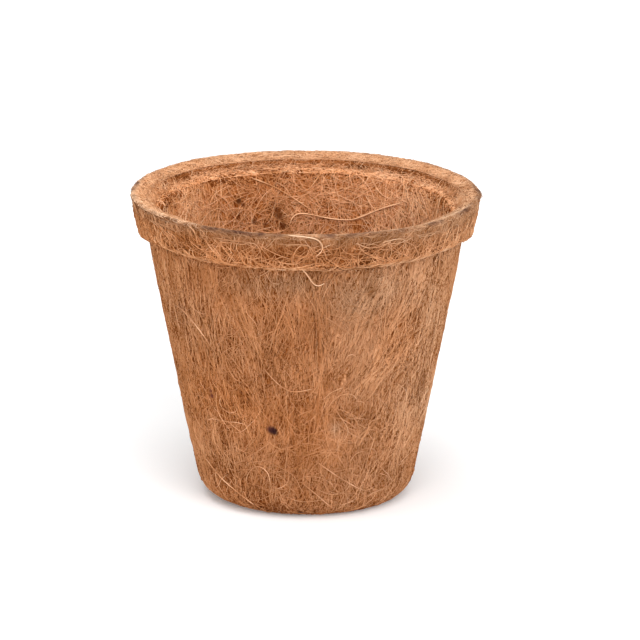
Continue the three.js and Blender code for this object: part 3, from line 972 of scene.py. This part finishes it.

# The wall_specks, wall_lines, collar_specks, lip_specks, ledge_specks, inside_specks and heel_specks mats are
# short dark fibres: bits of dark pith, and painted shade of the gaps between fibres.
mats = [
    Mat("wall_bed", *ON_WALL, WHOLE_WALL, WALL, 950, 13,
        (5, 13), (0.13, 0.22), (0, 0.08), (0.49, 0.63), 15, 8, 2.5, 7, gaps=-1),
    Mat("wall_specks", *ON_WALL, WHOLE_WALL, WALL, 1800, 12,
        (0.3, 1.3), (0.13, 0.22), (0.1, 0.18), (0.02, 0.3), 24, 35, 45, 5, gaps=1.8),
    Mat("wall_lines", *ON_WALL, (FOOT_MM, OUTSIDE_MM - 8), WALL, 90, 3,
        (3, 9), (0.12, 0.22), (0.08, 0.14), (0.1, 0.3), 12, 10, 3, 7),
    Mat("wall_tangle", *ON_WALL, WHOLE_WALL, WALL, 260, 12,
        (4, 13), (0.15, 0.24), (0.08, 0.22), (0.47, 0.69), 40, 16, 6, 10, gaps=3),
    Mat("wall_curls", *ON_WALL, (FOOT_MM + 42, OUTSIDE_MM - 3), WALL, 90, 5,
        (6, 16), (0.16, 0.25), (0.12, 0.32), (0.54, 0.76), 60, 45, 12, 14, gaps=2),
    Mat("wall_bundle", *ON_WALL, (26, 58), (20, 64), 8, 5,
        (12, 28), (0.14, 0.2), (0.08, 0.18), (0.46, 0.62), 2, 2, 0.4, 12, heading=15, size=5, width=0.35,
        bearings=(4.4, 5.8)),
    Mat("wall_long", *ON_WALL, (FOOT_MM + 8, OUTSIDE_MM - 12), WALL, 60, 6,
        (14, 36), (0.13, 0.22), (0.05, 0.2), (0.5, 0.7), 12, 5, 0.8, 14, gaps=1.5),
    Mat("collar_bed", *ON_COLLAR, (0.9, 7), (0.9, FOOT_MM - 1), 200, 12,
        (3, 8), (0.13, 0.22), (0, 0.1), (0.4, 0.64), 22, 16, 4, 6, gaps=-1.5),
    # Dark fibres low in the collar's felt: painted shade of its deeper layer.
    Mat("collar_deep", *ON_COLLAR, (5, FOOT_MM), COLLAR, 130, 12,
        (3, 9), (0.14, 0.24), (0, 0.12), (0.12, 0.42), 50, 40, 8, 7),
    Mat("collar_specks", *ON_COLLAR, (1.5, FOOT_MM), COLLAR, 380, 14,
        (0.25, 0.9), (0.2, 0.34), (0.08, 0.18), (0, 0.24), 40, 25, 8, 3, width=0.6, gaps=2.5),
    Mat("collar_strands", *ON_COLLAR, (3, FOOT_MM - 2), COLLAR, 80, 8,
        (5, 11), (0.18, 0.3), (0.12, 0.34), (0.42, 0.74), 18, 22, 7, 10, gaps=1),
    Mat("collar_tangle", *ON_COLLAR, (6.5, FOOT_MM), (3.2, FOOT_MM), 90, 10,
        (4, 13), (0.22, 0.38), (0.15, 0.5), (0.42, 0.76), 50, 45, 12, 12, gaps=2),
    Mat("foot_tangle", *ON_COLLAR, (FOOT_MM - 3.5, FOOT_MM - 1), (FOOT_MM - 6, FOOT_MM - 0.3), 50, 8,
        (4, 12), (0.18, 0.3), (0.1, 0.35), (0.45, 0.82), 35, 30, 8, 10, heading=90, width=1),
    # Dark specks along the collar's foot: painted shade under its edge.
    Mat("foot_specks", *ON_COLLAR, (FOOT_MM - 2.5, FOOT_MM), (FOOT_MM - 3, FOOT_MM - 0.2), 150, 9,
        (0.3, 1.2), (0.16, 0.3), (0.12, 0.26), (0, 0.2), 40, 30, 8, 4, heading=60, width=0.6),
    Mat("foot_fringe", *ON_COLLAR, (FOOT_MM - 1.5, FOOT_MM + 1), (FOOT_MM - 5, FOOT_MM + 4), 130, 4,
        (2.5, 7), (0.14, 0.24), (0.05, 0.25), (0.44, 0.78), 50, 40, 10, 10, size=1),
    Mat("rim_bed", *ON_RIM, (0.4, RIM_MM - 0.6), (0.2, RIM_MM), 260, 9,
        (2, 6), (0.1, 0.2), (0, 0.12), (0.45, 0.8), 35, 30, 5, 5, heading=90, width=0.6),
    Mat("rim_fluff", *ON_RIM, (0.2, RIM_MM - 1.5), (0.1, RIM_MM - 0.9), 60, 9,
        (1, 3), (0.1, 0.2), (0.05, 0.3), (0.8, 1.0), 30, 30, 10, 5, size=1.5, width=1.5,
        bearings=(-115, -38)),
    # The lip's pale tones are partly paler coir and partly painted light on its upward face.
    Mat("lip_bed", *ON_LIP, (0.4, LIP_MM), (0.3, LIP_MM), 420, 11,
        (3, 10), (0.1, 0.18), (0, 0.14), (0.66, 0.93), 35, 28, 5, 7, heading=90),
    Mat("lip_specks", *ON_LIP, (LIP_MM - 1.6, LIP_MM), (0.5, LIP_MM), 110, 9,
        (0.22, 0.7), (0.16, 0.26), (0.08, 0.15), (0.15, 0.46), 30, 25, 8, 4, heading=90, width=0.6),
    Mat("groove_bed", *IN_GROOVE, (0.2, GROOVE_MM), (0.1, GROOVE_MM), 340, 11,
        (3, 9), (0.13, 0.22), (0, 0.2), (0.58, 0.88), 28, 25, 6, 7, heading=90, width=0.8),
    # Dark specks in the groove: painted shade in it, with some darker colour.
    Mat("groove_specks", *IN_GROOVE, (GROOVE_MM * 0.25, GROOVE_MM * 0.6), (0.5, GROOVE_MM - 0.4), 170, 10,
        (0.3, 1.2), (0.16, 0.28), (0.14, 0.3), (0, 0.28), 20, 20, 8, 5, heading=90, width=0.35,
        bearings=(108, 248)),
    Mat("left_fluff", *IN_GROOVE, GROOVE, GROOVE, 130, 8,
        (1.5, 5), (0.12, 0.2), (0.1, 0.5), (0.6, 0.92), 60, 50, 12, 7, heading=90, bearings=(-108, -50)),
    Mat("right_fluff", *IN_GROOVE, GROOVE, GROOVE, 100, 8,
        (1.5, 5), (0.12, 0.2), (0.1, 0.5), (0.58, 0.9), 60, 50, 12, 7, heading=90, bearings=(52, 106)),
    Mat("lip_lines", *ON_LIP, (1, LIP_MM), (0.5, LIP_MM), 14, 3,
        (1.5, 4), (0.14, 0.26), (0.12, 0.2), (0.1, 0.35), 15, 15, 6, 6, heading=60, bearings=(68, 104)),
    Mat("groove_cross", *IN_GROOVE, GROOVE, GROOVE, 170, 4,
        (2, 6), (0.12, 0.2), (0.22, 0.44), (0.58, 0.88), 45, 30, 6, 7, heading=45, width=1),
    # The ledge's pale tones are partly paler coir and partly painted light on its upward face.
    Mat("ledge_bed", *IN_POT, (LEDGE_MM + 0.2, LEDGE_END - 0.8), (LEDGE_MM + 0.1, LEDGE_END), 260, 11,
        (3, 10), (0.12, 0.2), (0, 0.24), (0.68, 0.98), 40, 30, 5, 7, heading=90, width=1),
    Mat("ledge_specks", *IN_POT, (LEDGE_END - 1.4, LEDGE_END + 1.2), (LEDGE_MM + 0.8, LEDGE_END + 2),
        210, 8, (0.3, 1), (0.2, 0.36), (0.16, 0.28), (0, 0.3), 50, 30, 7, 4, heading=90, width=0.6,
        gaps=2.5),
    # Dark patches just below the ledge's tufts: painted shade beneath them.
    Mat("ledge_gaps", *IN_POT, (LEDGE_END - 1.4, LEDGE_END + 2.5), (LEDGE_MM + 0.8, LEDGE_END + 4), 70, 3,
        (0.5, 1.3), (0.35, 0.6), (0.1, 0.24), (0, 0.12), 50, 30, 7, 4, heading=90, width=0.6, gaps=3),
    # The inside mats' tones are paler than the outside's: painted light that lifts the shade inside the pot.
    Mat("inside_bed", *IN_POT, INNER, INNER, 900, 11,
        (4, 12), (0.14, 0.22), (0, 0.12), (0.6, 0.86), 90, 30, 4, 7, gaps=-0.6),
    Mat("inside_specks", *IN_POT, (LEDGE_END - 1, INSIDE_MM), INNER, 950, 13,
        (0.2, 0.6), (0.16, 0.3), (0.12, 0.22), (0.02, 0.34), 90, 30, 8, 3, width=0.6, gaps=2),
    Mat("inside_tangle", *IN_POT, INNER, (LEDGE_MM + 1, INSIDE_MM), 600, 12,
        (4, 14), (0.15, 0.23), (0.12, 0.42), (0.64, 0.96), 90, 40, 6, 10, gaps=1.5),
    Mat("floor_tangle", inner_floor, "floor_coir", INNER_DISC, INNER_DISC, 220, 11,
        (5, 18), (0.13, 0.26), (0.02, 0.35), (0.5, 0.95), 90, 40, 6, 10, size=4),
    Mat("base_tangle", base, "floor_coir", BASE_DISC, BASE_DISC, 170, 11,
        (5, 18), (0.13, 0.24), (0, 0.1), (0.5, 0.9), 90, 40, 5, 10, size=4),
    # A line of dark fibres along the groove: painted shade in it, with some darker colour.
    Mat("groove_shade_line", *IN_GROOVE, (GROOVE_MM * 0.33, GROOVE_MM * 0.4), (GROOVE_MM * 0.29, GROOVE_MM * 0.45),
        120, 9, (2.5, 7), (0.14, 0.24), (0.1, 0.24), (0.1, 0.44), 9, 10, 5, 7, heading=90, width=0.25,
        bearings=(104, 252)),
    Mat("inside_grain", *IN_POT, INNER, INNER, 150, 12,
        (2, 7), (0.14, 0.22), (0.04, 0.16), (0.5, 0.78), 18, 12, 4, 7, bearings=(92, 152)),
    Mat("inside_left_grain", *IN_POT, INNER, INNER, 150, 12,
        (2, 7), (0.14, 0.22), (0.04, 0.16), (0.5, 0.78), 18, 12, 4, 7, bearings=(-152, -92)),
    # Dark fibres beside the lap seam: painted shade under the overlapping felt's edge.
    Mat("wall_seam", *ON_WALL, (30, 62), (24, 68), 8, 2,
        (6, 16), (0.13, 0.2), (0.12, 0.2), (0.02, 0.2), 1.5, 1, 0.5, 12, heading=15, size=5, width=0.15,
        bearings=(3.9, 4.5)),
    Mat("wall_fan_left", *ON_WALL, (32, 37), (22, 50), 4, 5,
        (12, 24), (0.15, 0.24), (0.1, 0.26), (0.46, 0.68), 3, 5, 1, 12, size=2, width=1,
        bearings=(-24, -19)),
    Mat("wall_fan_right", *ON_WALL, (29, 36), (20, 50), 4, 5,
        (12, 22), (0.15, 0.24), (0.1, 0.26), (0.46, 0.68), 4, 6, 1, 12, heading=-22, size=2, width=1,
        bearings=(-15, -9)),
    Mat("lip_grain", *ON_LIP, (0.4, LIP_MM), (0.3, LIP_MM), 330, 10,
        (0.3, 1.1), (0.12, 0.2), (0.09, 0.17), (0.26, 0.56), 40, 35, 20, 4, heading=90, width=1),
    Mat("ledge_grain", *IN_POT, (LEDGE_MM + 0.2, LEDGE_END), (LEDGE_MM + 0.1, LEDGE_END + 0.5), 110, 9,
        (0.3, 1.1), (0.13, 0.22), (0.18, 0.3), (0.08, 0.42), 40, 35, 20, 4, heading=90, width=0.8),
    Mat("heel_specks", *ON_WALL, (78, OUTSIDE_MM - 3), (74, OUTSIDE_MM), 300, 10,
        (0.3, 1.2), (0.13, 0.22), (0.12, 0.24), (0, 0.26), 50, 35, 35, 5, gaps=1),
]


# Tones of the skins, which show between the fibres, and what open felt, ledge, lip and edge add to them

# The *_OPEN values darken the skins where the felt is open: dark pith, and painted shade in the gaps between
# fibres.
WALL_TONE, WALL_OPEN, LEDGE_PALE = 0.52, -0.3, 0.2
COLLAR_TONE, COLLAR_OPEN, LIP_PALE, GROOVE_SHADE_TONE = 0.39, -0.45, 0.33, -0.25
FLOOR_TONE, FLOOR_OPEN = 0.5, -0.4
# LEDGE_PALE and LIP_PALE are partly paler coir and partly painted light on the ledge and lip, which face up.
LEDGE_HEIGHTS = (LEDGE_Z - 2 * MM, LEDGE_Z - 1 * MM)
LIP_UNDER = 0.6 * MM  # from the lip's top down to where its tone begins
LIP_MIDDLE = ((LIP_RADIUS, RIM_RADIUS), (collar_lip[-2, 1] - LIP_UNDER, RIM_Z - LIP_UNDER))
LIP_EDGE = (LIP_RADIUS + 0.7 * MM, LIP_RADIUS + 0.2 * MM)
LIP_FADE = 0.5 * MM
GROOVE_SHADE_BEARINGS = (110, 150)  # where the lip's edge turns dark: painted shade of the groove below it
FRONT_GROOVE_SHADE = 0.1  # share of that, elsewhere


def wall_tone(places):
    """Dark where the felt is open (dark pith and painted shade in its gaps), and pale on the ledge (partly
    painted light on its upward face).
    """
    on_ledge = fade(places[..., 2], *LEDGE_HEIGHTS)
    return WALL_TONE + WALL_OPEN * openness(places) * (1 - on_ledge) + LEDGE_PALE * on_ledge


def collar_tone(places):
    """Dark where the felt is open (dark pith and painted shade in its gaps), pale on the lip (partly painted
    light on its upward face), and dark down the lip's edge at the back (painted shade of the groove below
    it).
    """
    bearing, radius, z = round_pot(places)
    at_back = fade(np.abs(bearing), *GROOVE_SHADE_BEARINGS)
    on_top = fade(z - np.interp(radius, *LIP_MIDDLE), 0, LIP_FADE)
    shade_below_lip = fade(radius, *LIP_EDGE) * (FRONT_GROOVE_SHADE + (1 - FRONT_GROOVE_SHADE) * at_back)
    tone = COLLAR_TONE + COLLAR_OPEN * openness(places) * (1 - on_top)
    return tone + LIP_PALE * on_top * (1 - shade_below_lip) + GROOVE_SHADE_TONE * shade_below_lip


def floor_tone(places):
    return FLOOR_TONE + FLOOR_OPEN * openness(places)


SKIN_SEED = SEED + 5
MAT_SEED = SEED + 10
LOOSE_SEED = SEED + 40


def dress_pot():
    skin = add_skin("wall_skin", wall, wall_tone, wall_coir, "wall_coir", SKIN_SEED, spacing=0.95)
    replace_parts(skin, "wall_felt")
    skin = add_skin("collar_skin", collar, collar_tone, tangled_coir, "collar_coir", SKIN_SEED + 1,
                    spacing=0.4)
    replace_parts(skin, "collar_felt")
    skin = add_skin("floor_skin", floor, floor_tone, tangled_coir, "floor_coir", SKIN_SEED + 2, spacing=0.9)
    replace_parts(skin, "floor_felt")
    for number, mat in enumerate(mats):
        add_fibres(mat.name, grow(mat, np.random.default_rng(MAT_SEED + number)), mat.slot)
    for number, name in enumerate(sorted(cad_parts)):
        if name.endswith("fibre"):
            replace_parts(add_loose_fibre(name, np.random.default_rng(LOOSE_SEED + number)), name)


# Stage, light and camera

FLOOR_GLOW = 0.13
WHITE = (1, 1, 1, 1)
WORLD_LIGHT = 0.44
LIGHT_AIM = Vector((0, 0, 0.05))
TOP_LIGHT = ("top_light", (-0.4, -0.4, 3.2), 2.6, 51)  # name, place, size, power
FRONT_LIGHT = ("front_light", (0.7, -2.9, 1.7), 3.6, 150)


def add_floor():
    bpy.ops.mesh.primitive_plane_add(size=60)
    floor_piece = bpy.context.object
    floor_piece.name = "studio_floor"
    pale, _, shader = blank_material("studio_pale", roughness=1.0, specular=0.0)
    glow = {"Emission Color": WHITE, "Emission Strength": FLOOR_GLOW}
    fill(shader, {"Base Color": (0.94, 0.94, 0.94, 1), **glow})
    floor_piece.data.materials.append(pale)


def aimed(towards):
    """The rotation that points a light or a camera in a direction."""
    return towards.to_track_quat("-Z", "Y").to_euler()


def add_area_light(name, place, size, power):
    lamp = bpy.data.lights.new(name, "AREA")
    lamp.size = size
    lamp.energy = power
    holder = bpy.data.objects.new(name, lamp)
    holder.location = place
    holder.rotation_euler = aimed(LIGHT_AIM - holder.location)
    bpy.context.scene.collection.objects.link(holder)


def add_light():
    world = bpy.data.worlds.new("studio")
    world.use_nodes = True
    fill(world.node_tree.nodes["Background"], {"Color": WHITE, "Strength": WORLD_LIGHT})
    bpy.context.scene.world = world
    add_area_light(*TOP_LIGHT)
    add_area_light(*FRONT_LIGHT)


def add_camera():
    lens = bpy.data.cameras.new("photo_camera")
    lens.sensor_width = SENSOR_MM
    lens.lens = FOCAL_PIXELS / PHOTO_PIXELS * SENSOR_MM
    lens.shift_x = 0.5 - POT_CENTRE_PIXEL[0] / PHOTO_PIXELS
    lens.shift_y = POT_CENTRE_PIXEL[1] / PHOTO_PIXELS - 0.5
    lens.clip_end = 100
    camera = bpy.data.objects.new("photo_camera", lens)
    back = Vector((0, -math.cos(CAMERA_ELEVATION), math.sin(CAMERA_ELEVATION)))
    camera.location = Vector((0, 0, RIM_Z / 2)) + back * CAMERA_DISTANCE
    camera.rotation_euler = aimed(-back)
    bpy.context.scene.collection.objects.link(camera)
    bpy.context.scene.camera = camera
    bpy.context.scene.view_settings.view_transform = "Standard"


dress_pot()
add_floor()
add_light()
add_camera()
